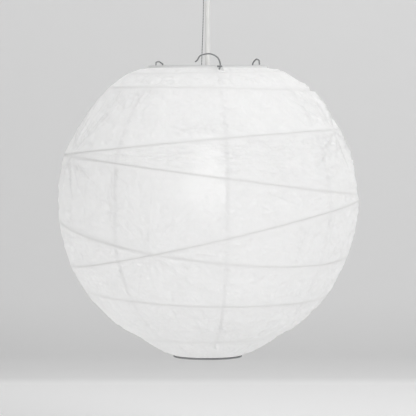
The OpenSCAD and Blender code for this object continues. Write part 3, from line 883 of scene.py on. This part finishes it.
class LANTERN_OT_lampholder(Operator):
    """Lampholder: cap with its flex sleeve, threaded body, insert, contacts and the shade nut"""

    bl_idname = "lantern.lampholder"
    bl_label = "Lampholder"

    def execute(self, context):
        plastic = white_moulding()
        self.make_cap(plastic)
        self.make_body(plastic)
        self.make_nut(plastic)
        brass = metal("pressed_brass", "brass", 0.34, 0.4, 1.0, 0.18)
        finish_node("flex_clamp", off_white_moulding())
        finish_node("holder_insert", steatite())
        finish_node("holder_screw_shell", brass)
        finish_node("holder_contact", brass)
        return {"FINISHED"}

    def make_cap(self, plastic):
        low, high = corners("holder_cap")
        radius, bottom, top = high[0], low[2], high[2]
        shoulder, neck = -0.244, -0.230
        bore, tip, sleeve_root = 0.0036, 0.0046, 0.0076
        in_r, groove_r = radius - 0.0018, radius - 0.0003
        outline = [
            (in_r, bottom), (groove_r, bottom), (radius, bottom + 0.0004), (radius, bottom + 0.004),
            (groove_r, bottom + 0.0044), (groove_r, bottom + 0.0052), (radius, bottom + 0.0056),
            (radius, shoulder - 0.001),
            *round_corner((radius - 0.003, shoulder - 0.0012), 0.003, 12, 52, 4),
            (0.0093, neck - 0.0012), (0.0082, neck - 0.0002), (0.0078, neck + 0.0012),
        ]
        # The sleeve narrows in soft collars so that it bends with the flex
        collars = 6
        rise = (top - neck - 0.004) / collars
        for i in range(collars):
            at = neck + 0.003 + rise * i
            wide = sleeve_root + (tip - sleeve_root) * (i + 0.5) / collars
            narrow = wide - 0.0007
            outline += [
                (wide, at), (wide - 0.0001, at + 0.6 * rise), (narrow, at + 0.68 * rise),
                (narrow, at + 0.92 * rise),
            ]
        outline += [
            (tip, top - 0.0006), (tip - 0.0003, top), (bore, top), (bore, neck - 0.0015),
            (0.0065, neck - 0.0015), (in_r, shoulder - 0.001),
        ]
        cap = turned(outline, 96)
        finish_piece(cap, "holder_dome", "pendant", "white_plastic", plastic, "holder_cap")

    def make_body(self, plastic):
        low, high = corners("holder_body")
        bottom, top, flange = low[2], high[2], high[0]
        skirt, bore, flange_low, flange_high = 0.0199, 0.0175, -0.26895, -0.26495
        thread_root, neck = skirt - 0.0007, skirt - 0.0004
        outline = [
            (bore, bottom), (skirt - 0.0012, bottom), (thread_root, bottom + 0.0006),
            (thread_root, flange_low - 0.0015), (skirt, flange_low - 0.0010), (skirt, flange_low),
            (flange - 0.0005, flange_low), (flange, flange_low + 0.0005), (flange, flange_high - 0.0008),
            (flange - 0.0008, flange_high), (neck, flange_high), (neck, top), (bore, top),
        ]
        body = turned(outline, 96)
        # Right-hand thread with a pitch of 2.5 mm
        pitch = 0.0025
        turns = int((flange_low - 0.0035 - bottom - 0.0015) / pitch)
        ridge = thread_ridge(skirt - 0.0008, skirt, pitch, bottom + 0.0018, turns)
        body = join([body, ridge])
        finish_piece(body, "holder_barrel", "pendant", "white_plastic", plastic, "holder_body")

    def make_nut(self, plastic):
        low, high = corners("shade_nut")
        radius, bottom, top = high[0], low[2], high[2]
        grips = sizes().nut_grips
        bore, edge, lip = 0.01998, 0.0009, 0.0022
        outline = [
            (bore, bottom), (radius - edge, bottom), (radius - 0.0003, bottom + 0.0003),
            (radius, bottom + edge), (radius, top - lip), (radius, top - 0.0005), (radius - 0.0005, top),
            (bore, top),
        ]
        nut = turned(outline, 6 * grips)
        # Finger flutes: two faces in each six round the rim are sunk in
        for face in nut.data.polygons:
            middle = face.center
            turn = math.degrees(math.atan2(middle.y, middle.x)) % (360 / grips)
            on_rim = middle.to_2d().length > radius - 0.0004 and bottom + edge < middle.z < top - lip + 0.0001
            face.select = bool(on_rim and turn < 120 / grips + 0.01)
        bpy.ops.object.mode_set(mode="EDIT")
        bpy.ops.mesh.select_mode(type="FACE")
        bpy.ops.mesh.inset(thickness=0.0004, depth=-0.0008, use_even_offset=False)
        bpy.ops.object.mode_set(mode="OBJECT")
        soften(nut, 0.0002, 2, 40)
        finish_piece(nut, "shade_ring_nut", "nut", "white_plastic", plastic, "shade_nut")


class LANTERN_OT_bulb(Operator):
    """Opal bulb with its screw cap"""

    bl_idname = "lantern.bulb"
    bl_label = "Bulb"

    def execute(self, context):
        self.make_glass()
        self.make_cap()
        finish_node("bulb_insulator", vitrite())
        finish_node("bulb_tip", metal("dull_solder", "zinc", 0.5, 0.5, 1.0, 0.3))
        return {"FINISHED"}

    def make_glass(self):
        low, high = corners("bulb_glass")
        radius = sizes().bulb_radius
        middle = low[2] + radius
        neck, neck_z, wall = 0.0127, high[2] - 0.009, 0.001
        # A ring this small closes at the pole when its doubles are merged
        pole = 0.00002
        # The neck swells into the ball in one smooth line, and meets it 38 degrees from the top
        angles = np.radians(np.linspace(38, 176, 30))
        ball = [(radius * math.sin(a), middle + radius * math.cos(a)) for a in angles]
        join_r, join_z = ball[0]
        side = []
        for t in np.linspace(0, 1, 14):
            swell = 0.35 * t * t + 0.65 * t * t * t * (3 - 2 * t)
            side.append((neck + (join_r - neck) * swell, neck_z + (join_z - neck_z) * t))
        side += ball[1:]
        inner = [(max(r - wall, pole), z + (wall if r < radius * 0.3 else 0)) for r, z in reversed(side)]
        glass = turned(
            [
                (neck, high[2]), *side, (pole, middle - radius), (pole, middle - radius + wall), *inner,
                (neck - wall, high[2]),
            ],
            96,
        )
        bpy.ops.object.shade_smooth()
        finish_piece(glass, "bulb_globe", "bulb", "opal_glass", opal_glass(), "bulb_glass")

    def make_cap(self):
        low, high = corners("bulb_cap")
        radius, bottom, top = high[0], low[2], high[2]
        root = radius - 0.0006
        outline = [
            (radius - 0.0002, bottom), (radius, bottom + 0.0003), (radius, bottom + 0.0010),
            (root, bottom + 0.0016), (root, top - 0.0008), (root - 0.0006, top),
            (root - 0.0009, top - 0.0001), (root - 0.0005, top - 0.0010), (root - 0.0004, bottom + 0.0016),
            (radius - 0.0005, bottom),
        ]
        cap = turned(outline, 96)
        # Rolled right-hand thread with a pitch of 3.6 mm
        pitch = 0.0036
        turns = int((top - bottom - 0.006) / pitch)
        ridge = thread_ridge(root - 0.0001, radius, pitch, bottom + 0.0030, turns)
        cap = join([cap, ridge])
        finish = metal("rolled_aluminium", "aluminium", 0.32, 0.4, 3.0, 0.15)
        finish_piece(cap, "bulb_screw_cap", "bulb", "bulb_cap_metal", finish, "bulb_cap")


# ---- Steel frame and shade wires ----


def hook_arches():
    """Half width and height of each hook's arch, from the front one to the right and round. The
    last one is bent the other way."""
    s = sizes()
    half = 0.48 * s.hook_width
    return [(half, s.front_hook_height), (half, s.right_hook_height), (-half, s.left_hook_height)]


def curve_through(points, steps, before):
    """Points of a smooth curve that passes through a few points, after one that comes before it."""
    out, last = [], len(points) - 1
    for i in range(last):
        a, b = points[i - 1] if i else before, points[i]
        c, d = points[i + 1], points[min(i + 2, last)]
        for t in np.arange(steps) / steps:
            bend = (2 * a - 5 * b + 4 * c - d) * t**2 + (3 * b - a - 3 * c + d) * t**3
            out.append(0.5 * (2 * b + (c - a) * t + bend))
    return [*out, points[last]]


class LANTERN_OT_frame(Operator):
    """Steel frame: three hooked legs, their arms, the lampholder ring and the foot ring"""

    bl_idname = "lantern.frame"
    bl_label = "Steel frame"

    def execute(self, context):
        steel = galvanised_wire()
        legs = [self.leg(i) for i in range(HOOKS)]
        for i, leg in enumerate(legs, 1):
            finish_piece(leg, f"hook_leg_{i}", "shade", "frame_wire", steel, f"frame_leg_{i}")
            finish_node(f"frame_arm_{i}", steel)
        finish_node("frame_foot_ring", steel)
        finish_node("frame_holder_ring", zinc_sheet())
        self.make_welds(steel)
        return {"FINISHED"}

    def leg(self, turn):
        """A leg from the foot ring up inside the shade, out under the top ring and over it."""
        ring_r = TOP_RING[2] - TOP_RING[3] / 2
        foot_middle, _, foot_outside, wire_d = hoop("frame_foot_ring")
        foot_z, foot_r = foot_middle[2], foot_outside - 1.5 * wire_d - 0.00006
        top_r, top_z = ring_r - 0.007, RIM_Z - 0.045

        def at_ring(along, out, up):
            """A place given along the top ring, outwards from its wire and up from it."""
            a = along / ring_r
            return np.array([(ring_r + out) * math.sin(a), -(ring_r + out) * math.cos(a), RIM_Z + up])

        half, rise = hook_arches()[turn]
        low = [
            np.array([0, -foot_r - (top_r - foot_r) * t, foot_z - 0.001 + (top_z - foot_z + 0.001) * t])
            for t in np.arange(0, 1, 0.125)
        ]
        high = curve_through(
            [
                np.array([0, -top_r, top_z]), at_ring(half * 0.7, -0.0065, -0.027),
                at_ring(half, -0.0055, -0.013), at_ring(half, -0.003, -0.0052),
                at_ring(half, 0.0008, -0.0032), at_ring(half, 0.004, -0.0008), at_ring(half, 0.0044, 0.0045),
                at_ring(half * 0.78, 0.0032, rise * 0.72), at_ring(half * 0.2, 0.0004, rise),
                at_ring(-half * 0.6, -0.0028, rise * 0.86), at_ring(-half * 0.92, -0.0044, rise * 0.5),
                at_ring(-half * 1.12, -0.0054, rise * 0.36),
            ],
            10,
            low[-1],
        )
        a = math.radians(120 * turn)
        spin = np.array([[math.cos(a), -math.sin(a), 0], [math.sin(a), math.cos(a), 0], [0, 0, 1]])
        return bent_wire([spin @ p for p in low + high], wire_d, 0.0004)

    def make_welds(self, steel):
        """Flattened beads where the legs meet the foot ring and the arms meet the lampholder ring."""
        foot = hoop("frame_foot_ring")
        foot_r = foot[2] - foot[3]
        ring_low, ring_high = corners("frame_holder_ring")
        ring_r, ring_z = ring_high[0], (ring_low[2] + ring_high[2]) / 2
        beads = []
        for i in range(HOOKS):
            a = math.radians(120 * i - 90)
            for r, z, size in (
                (foot_r, foot[0][2], (0.0011, 0.0015, 0.0012)),
                (ring_r + 0.0003, ring_z, (0.0012, 0.0017, 0.00125)),
            ):
                deselect()
                bpy.ops.mesh.primitive_uv_sphere_add(segments=20, ring_count=12, radius=1, location=(0, 0, 0))
                bead = bpy.context.object
                bead.scale = size
                place_in_mesh(bead)
                # Weld metal sags and freezes in a lumpy, rippled bead
                for v in bead.data.vertices:
                    lump = noise.noise(v.co * 900 + Vector((i * 7, r * 90, 0)))
                    v.co *= 1 + 0.14 * lump + 0.05 * math.sin(v.co.y * 9000)
                bead.rotation_euler = (0, 0, a)
                bead.location = (r * math.cos(a), r * math.sin(a), z)
                place_in_mesh(bead)
                bpy.ops.object.shade_smooth()
                beads.append(bead)
        finish_piece(join(beads), "frame_welds", "shade", "frame_wire", steel)


class LANTERN_OT_shade_wires(Operator):
    """The shade's hoops and its two end rings"""

    bl_idname = "lantern.shade_wires"
    bl_label = "Shade wires"

    def execute(self, context):
        lacquer = rib_lacquer()
        for i in range(1, RIBS + 1):
            finish_node(f"rib_{i}", lacquer)
        steel = galvanised_wire()
        finish_node("shade_top_ring", steel)
        finish_node("shade_bottom_ring", steel)
        return {"FINISHED"}


# ---- Paper ----


class PaperShape:
    """Where the paper lies: pasted to the hoops, and flatter, creased and pleated between them.

    It is a grid of rows from the hem down and columns round the shade. rho is each point's distance
    from the upright axis, up its height over the ball's middle, and fold how much painted shade darkens it at
    folds and creases.
    panel and down say between which two hoops a row lies, -1 in the hem, and how far down there."""

    # Reach of a hoop at a crossing, and of the paste that holds the paper down
    crossing_reach, paste_reach = 0.010, 0.012
    # The narrow panel above the middle is pulled sideways, so its creases lie flat
    narrow_panel = 3
    # Spacing, share of the crumple depth and upright squeeze of each size of crumple
    crumples = ((0.034, 0.8, 1.4), (0.015, 0.5, 1.3), (0.008, 0.36, 1.0))
    # Spacing, share of the crumple depth and strength of the painted shade of each size of straight crease
    creases = ((0.042, 0.9, 0.42), (0.019, 0.5, 0.30))
    # Size of a patch of creases, and width of the painted shade along a crease
    patch_size, fold_width = 0.065, 0.0020

    def __init__(self):
        s = sizes()
        self.s = s
        self.radius = s.ball_radius
        self.wide = 360 / STRIPS
        self.overlap = math.degrees(s.seam_overlap / self.radius)
        self.columns = round(math.radians(self.wide) * self.radius / s.paper_step)
        self.spare = max(2, round(self.columns * self.overlap / self.wide))
        around = np.arange(STRIPS * self.columns) * self.wide / self.columns + s.seam_turn
        self.turn = np.radians(around)
        self.hoop_angles, self.hoop_radii = self.hoops_at(self.turn)
        self.build()

    def hoops_at(self, turn):
        """Angle down from the top, and distance from the ball's middle, where each hoop crosses
        each upright line of the paper, sorted from the top down."""
        angles, radii = [], []
        for middle, normal, outside, wire_d in RIB_HOOPS:
            lift = (middle - np.array([0, 0, MIDDLE_Z])) @ normal
            track = math.hypot(lift, outside - wire_d / 2)
            across = normal[0] * np.cos(turn) + normal[1] * np.sin(turn)
            angle = np.arctan2(across, normal[2]) + np.arccos(lift / track / np.hypot(across, normal[2]))
            angles.append(angle)
            radii.append(np.full_like(turn, track + wire_d / 2 + 0.0002))
        angles, radii = np.array(angles), np.array(radii)
        # Near a crossing the paper rides on the outer hoop
        held = radii.copy()
        for i in range(RIBS):
            for j in range(RIBS):
                away = np.abs(angles[i] - angles[j]) * self.radius
                step = np.maximum(0, radii[j] - radii[i])
                held[i] = np.maximum(held[i], radii[j] - step * np.minimum(1, away / self.crossing_reach))
        order = np.argsort(angles, axis=0)
        return np.take_along_axis(angles, order, 0), np.take_along_axis(held, order, 0)

    def build(self):
        """Smooth paper from hoop to hoop, between its hem over the top ring and the bottom ring."""
        s = self.s
        count = len(self.turn)
        top_up, low_up = RIM_Z - MIDDLE_Z, BOTTOM_Z - MIDDLE_Z
        ring_r, ring_d = TOP_RING[2] - TOP_RING[3] / 2, TOP_RING[3]
        wrap = ring_d / 2 + 0.00035
        # Hem: up the inside of the ring, over it and down the outside
        hem = [(ring_r - wrap, top_up - 0.0045), (ring_r - wrap, top_up - 0.0020)]
        for a in np.radians([0, 30, 60, 90, 120, 150]):
            hem.append((ring_r - wrap * math.cos(a), top_up + wrap * math.sin(a)))
        hem += [(s.mouth_radius, top_up), (s.mouth_radius, top_up - 0.0018)]
        foot = (BOTTOM_RING[2] - BOTTOM_RING[3] / 2 + 0.0002, low_up + BOTTOM_RING[3] / 2 + 0.0004)
        rho = [np.full(count, r) for r, _ in hem]
        up = [np.full(count, z) for _, z in hem]
        place = [(-1, 0.0)] * len(hem)
        stops_r = [rho[-1], *(self.hoop_radii * np.sin(self.hoop_angles)), np.full(count, foot[0])]
        stops_z = [up[-1], *(self.hoop_radii * np.cos(self.hoop_angles)), np.full(count, foot[1])]
        for panel in range(len(stops_r) - 1):
            r0, z0, r1, z1 = stops_r[panel], stops_z[panel], stops_r[panel + 1], stops_z[panel + 1]
            span = np.hypot(r1 - r0, z1 - z0)
            rows = max(6, math.ceil(span.max() / s.paper_step))
            a0, a1 = np.arctan2(r0, z0), np.arctan2(r1, z1)
            d0, d1 = np.hypot(r0, z0), np.hypot(r1, z1)
            puff = self.puff_at(panel)
            for k in range(1, rows + 1):
                t = k / rows
                angle = a0 + (a1 - a0) * t
                far = d0 + (d1 - d0) * t
                flat_r, flat_z = r0 + (r1 - r0) * t, z0 + (z1 - z0) * t
                mixed_r = flat_r + (far * np.sin(angle) - flat_r) * puff
                mixed_z = flat_z + (far * np.cos(angle) - flat_z) * puff
                rho.append(mixed_r)
                up.append(mixed_z)
                place.append((panel, t))
        self.rho, self.up = np.array(rho), np.array(up)
        self.panel, self.down = np.array(place).T
        self.add_relief()

    def puff_at(self, panel):
        """How round each panel stands, a little different all the way round."""
        puff = np.full(len(self.turn), self.s.puff)
        if panel == 0:
            return puff * 0.6
        if panel >= RIBS - 1:
            return puff * 0 + self.s.low_puff
        for k, turn in enumerate(self.turn):
            where = Vector((1.6 * math.cos(turn), 1.6 * math.sin(turn), 3.1 * panel))
            puff[k] += 0.45 * noise.noise(where)
        return puff

    def add_relief(self):
        """Crumples, creases and pleats, and the painted shade along their folds, which fade out where the
        paper is pasted.
        """
        s, radius = self.s, self.radius
        rows, count = self.rho.shape
        angle = np.arctan2(self.rho, self.up)
        turn = np.broadcast_to(self.turn, (rows, count))
        # The paper is held down near a pasted line
        stops = np.vstack([angle[self.hem_end() : self.hem_end() + 1], self.hoop_angles, angle[-1:]])
        gap = np.full((rows, count), 1.0)
        for line in stops:
            gap = np.minimum(gap, np.abs(angle - line) * radius)
        free = np.clip(gap / self.paste_reach, 0, 1)
        free = free * free * (3 - 2 * free)
        free[self.panel < 0] = 0
        height = np.zeros((rows, count))
        self.fold = np.zeros((rows, count))
        x, y, z = self.rho * np.cos(turn), self.rho * np.sin(turn), self.up
        # Crumpled creases: the folds of three noises, the widest about 30 mm apart
        for spacing, depth, squeeze in self.crumples:
            for i in range(self.hem_end() + 1, rows):
                level = squeeze * (3.0 if self.panel[i] == self.narrow_panel else 1.0) / spacing
                for k in range(count):
                    at = Vector((x[i, k] / spacing, y[i, k] / spacing, z[i, k] * level + 300 * spacing))
                    height[i, k] += s.crumple_depth * depth * (0.35 - abs(noise.noise(at)) * 2.0)
        side = 0.12 + 0.88 * np.cos(self.turn) ** 2
        # Straight creases between the facets of the crumpled sheet. They come in patches, most of
        # them at the sides and in the narrow panel
        for spacing, depth, share in self.creases:
            for i in range(self.hem_end() + 1, rows):
                narrow = self.panel[i] == self.narrow_panel
                level = (2.8 if narrow else 1.1) / spacing
                for k in range(count):
                    spot = Vector((x[i, k], y[i, k], z[i, k])) / self.patch_size
                    patch = 2.4 * noise.noise(spot) - 0.1 + (0.5 if narrow else 0.35 * side[k])
                    if patch <= 0:
                        continue
                    patch = min(patch, 1)
                    at = Vector((x[i, k] / spacing, y[i, k] / spacing, z[i, k] * level))
                    near = noise.voronoi(at)[0]
                    edge = near[1] - near[0]
                    height[i, k] += patch * s.crumple_depth * depth * (min(edge, 0.5) - 0.25) * 2
                    # Painted shade along the crease line, kept in fold
                    self.fold[i, k] += patch * share * max(0, 1 - edge * spacing / self.fold_width)
        # Upright pleats, deeper at the sides than in front
        lines, drift = (
            np.array([noise.noise(Vector((math.cos(a) * r, math.sin(a) * r, seed))) for a in self.turn])
            for r, seed in ((17, 4.2), (5, 8.8))
        )
        height += side * 0.0030 * lines * np.sin(np.pi * self.down[:, None]) * (1 + drift)
        height *= free
        self.fold *= free
        height += self.fans(angle, turn, gap)
        out = np.stack([np.sin(angle), np.cos(angle)])
        self.rho = self.rho + out[0] * height
        self.up = self.up + out[1] * height

    def hem_end(self):
        """The last row of the hem."""
        return int((self.panel < 0).sum()) - 1

    def gathers(self):
        """Places that gather the paper, as (turn, angle down): both ends of each stretch where two
        hoops lie together, and the high side of the tilted hoop above the middle."""
        count = len(self.turn)
        places = []
        for row, near in enumerate(np.diff(self.hoop_angles, axis=0) * self.radius < 0.004):
            for k in range(count):
                if near[k] and not (near[k - 1] and near[(k + 1) % count]):
                    places.append((self.turn[k], self.hoop_angles[row][k]))
        tilted = self.hoop_angles[2]
        places.append((self.turn[tilted.argmin()], tilted.min()))
        return places

    def fans(self, angle, turn, gap):
        """Pleats that spread up and down from each place where the paper is gathered, with a line of painted
        shadow beside each ridge.
        """
        s, radius = self.s, self.radius
        total = np.zeros_like(angle)
        hold = np.clip(gap / 0.006, 0, 1)
        random = np.random.RandomState(7)
        for at, down in self.gathers():
            strength = 0.06 + 0.94 * math.cos(at) ** 2
            for rise in (-1, 1):
                for spread in np.linspace(-0.40, 0.40, 9) + random.uniform(-0.03, 0.03, 9):
                    reach = random.uniform(0.3, 0.5) if rise < 0 else random.uniform(0.15, 0.35)
                    depth = s.pleat_depth * random.uniform(0.5, 1.1) * strength
                    along = (angle - down) * rise / reach
                    centre = at + spread * along / np.sin(down)
                    off = (turn - centre + np.pi) % (2 * np.pi) - np.pi
                    off = off * np.sin(angle) * radius
                    width = 0.0015 + 0.0032 * np.clip(along, 0, 1)
                    fade = np.clip(np.sin(np.pi * np.clip(along, 0, 1)), 0, 1) ** 0.6
                    pleat = depth * fade * np.exp(-np.abs(off) / width)
                    total += pleat * (1 if random.rand() > 0.3 else -0.5)
                    # Painted shadow: a dark line just beside each pleat's ridge
                    edge = np.exp(-(((off - 0.4 * width) / 0.0013) ** 2))
                    self.fold += strength * fade * edge * hold * random.uniform(0.4, 1.3)
        return total * hold

    def points(self, rows, columns, inset):
        """Places of the paper for some rows and columns, pushed in by a little."""
        k = columns % len(self.turn)
        rho, up, turn = self.rho[rows][:, k], self.up[rows][:, k], self.turn[k]
        angle = np.arctan2(rho, up)
        rho, up = rho - inset * np.sin(angle), up - inset * np.cos(angle)
        return np.stack([rho * np.cos(turn), rho * np.sin(turn), up + MIDDLE_Z], axis=-1)


class LANTERN_OT_paper(Operator):
    """The rice paper, in eight upright strips that lap at their seams"""

    bl_idname = "lantern.paper"
    bl_label = "Rice paper"

    def execute(self, context):
        shape = PaperShape()
        material = rice_paper()
        for i in range(STRIPS):
            strip = self.strip(shape, i)
            name = f"rice_paper_{i + 1}"
            finish_piece(strip, name, "shade", "rice_paper", material, f"paper_strip_{i + 1}")
        return {"FINISHED"}

    def strip(self, shape, index):
        rows = np.arange(shape.rho.shape[0])
        columns = index * shape.columns + np.arange(shape.columns + shape.spare + 1)
        # The last columns lie under the next strip
        inset = np.clip((np.arange(len(columns)) - shape.columns + 1) / 2, 0, 1) * 0.0004
        grid = shape.points(rows, columns, inset[None, :])
        high, wide = grid.shape[:2]
        number = np.arange(high * wide).reshape(high, wide)
        quads = np.stack([number[:-1, :-1], number[1:, :-1], number[1:, 1:], number[:-1, 1:]], -1)
        quads, points = quads.reshape(-1, 4), grid.reshape(-1, 3)
        quads = quads[self.outside_notches(points, quads)]
        mesh = bpy.data.meshes.new("strip")
        mesh.from_pydata(points.tolist(), [], quads.tolist())
        folds = shape.fold[:, columns % len(shape.turn)]
        mesh.attributes.new("fold", "FLOAT", "POINT").data.foreach_set("value", folds.reshape(-1))
        mesh.validate()
        obj = bpy.data.objects.new("strip", mesh)
        bpy.context.collection.objects.link(obj)
        pick(obj)
        bpy.ops.object.mode_set(mode="EDIT")
        bpy.ops.mesh.select_mode(type="VERT")
        bpy.ops.mesh.select_all(action="SELECT")
        bpy.ops.mesh.remove_doubles(threshold=0.00003)
        bpy.ops.mesh.delete_loose()
        bpy.ops.object.mode_set(mode="OBJECT")
        bpy.ops.object.shade_smooth()
        return obj

    def outside_notches(self, points, quads):
        """False for the faces of the hem where a hook passes under the ring."""
        notch_width = sizes().notch_width
        middle = points[quads].mean(1)
        ring_r = TOP_RING[2] - TOP_RING[3] / 2
        keep = np.ones(len(quads), bool)
        for i, (half, _) in enumerate(hook_arches()):
            a = math.radians(120 * i - 90) + half / ring_r
            along = middle[:, :2] @ np.array([-math.sin(a), math.cos(a)])
            out = middle[:, :2] @ np.array([math.cos(a), math.sin(a)])
            inside = (np.abs(along) < notch_width / 2) & (out > 0.07) & (middle[:, 2] > RIM_Z - 0.0078)
            keep &= ~inside
        return keep

    def measure(self, obj, shape):
        """Area of a strip, its length along the paper and its width at the widest."""
        mean_share = 0.72
        area = sum(face.area for face in obj.data.polygons)
        tall = float(np.hypot(np.diff(shape.rho, axis=0), np.diff(shape.up, axis=0)).sum(0).mean())
        return area, tall, area / tall / mean_share


# ---- Panel ----

OPERATORS = (
    LANTERN_OT_stage, LANTERN_OT_cords, LANTERN_OT_rose, LANTERN_OT_lampholder, LANTERN_OT_bulb,
    LANTERN_OT_frame, LANTERN_OT_shade_wires, LANTERN_OT_paper,
)


class LANTERN_PT_pieces(Panel):
    """Lists the lantern's pieces"""

    bl_label = "Paper lantern"
    bl_idname = "LANTERN_PT_pieces"
    bl_space_type = "VIEW_3D"
    bl_region_type = "UI"
    bl_category = "Lantern"

    def draw(self, context):
        for operator in OPERATORS:
            self.layout.operator(operator.bl_idname)
        for group in (context.scene.lantern_sizes, context.scene.lantern_colours):
            box = self.layout.box()
            for key in group.bl_rna.properties.keys():
                if key not in ("rna_type", "name"):
                    box.prop(group, key)


CLASSES = (LanternSizes, LanternColours, *OPERATORS, LANTERN_PT_pieces)


def register():
    for item in CLASSES:
        bpy.utils.register_class(item)
    bpy.types.Scene.lantern_sizes = PointerProperty(type=LanternSizes)
    bpy.types.Scene.lantern_colours = PointerProperty(type=LanternColours)


def unregister():
    del bpy.types.Scene.lantern_colours
    del bpy.types.Scene.lantern_sizes
    for item in reversed(CLASSES):
        bpy.utils.unregister_class(item)


def main():
    register()
    bpy.ops.lantern.stage()
    bpy.ops.lantern.cords()
    bpy.ops.lantern.rose()
    bpy.ops.lantern.lampholder()
    bpy.ops.lantern.bulb()
    bpy.ops.lantern.frame()
    bpy.ops.lantern.shade_wires()
    bpy.ops.lantern.paper()


if __name__ == "__main__":
    main()
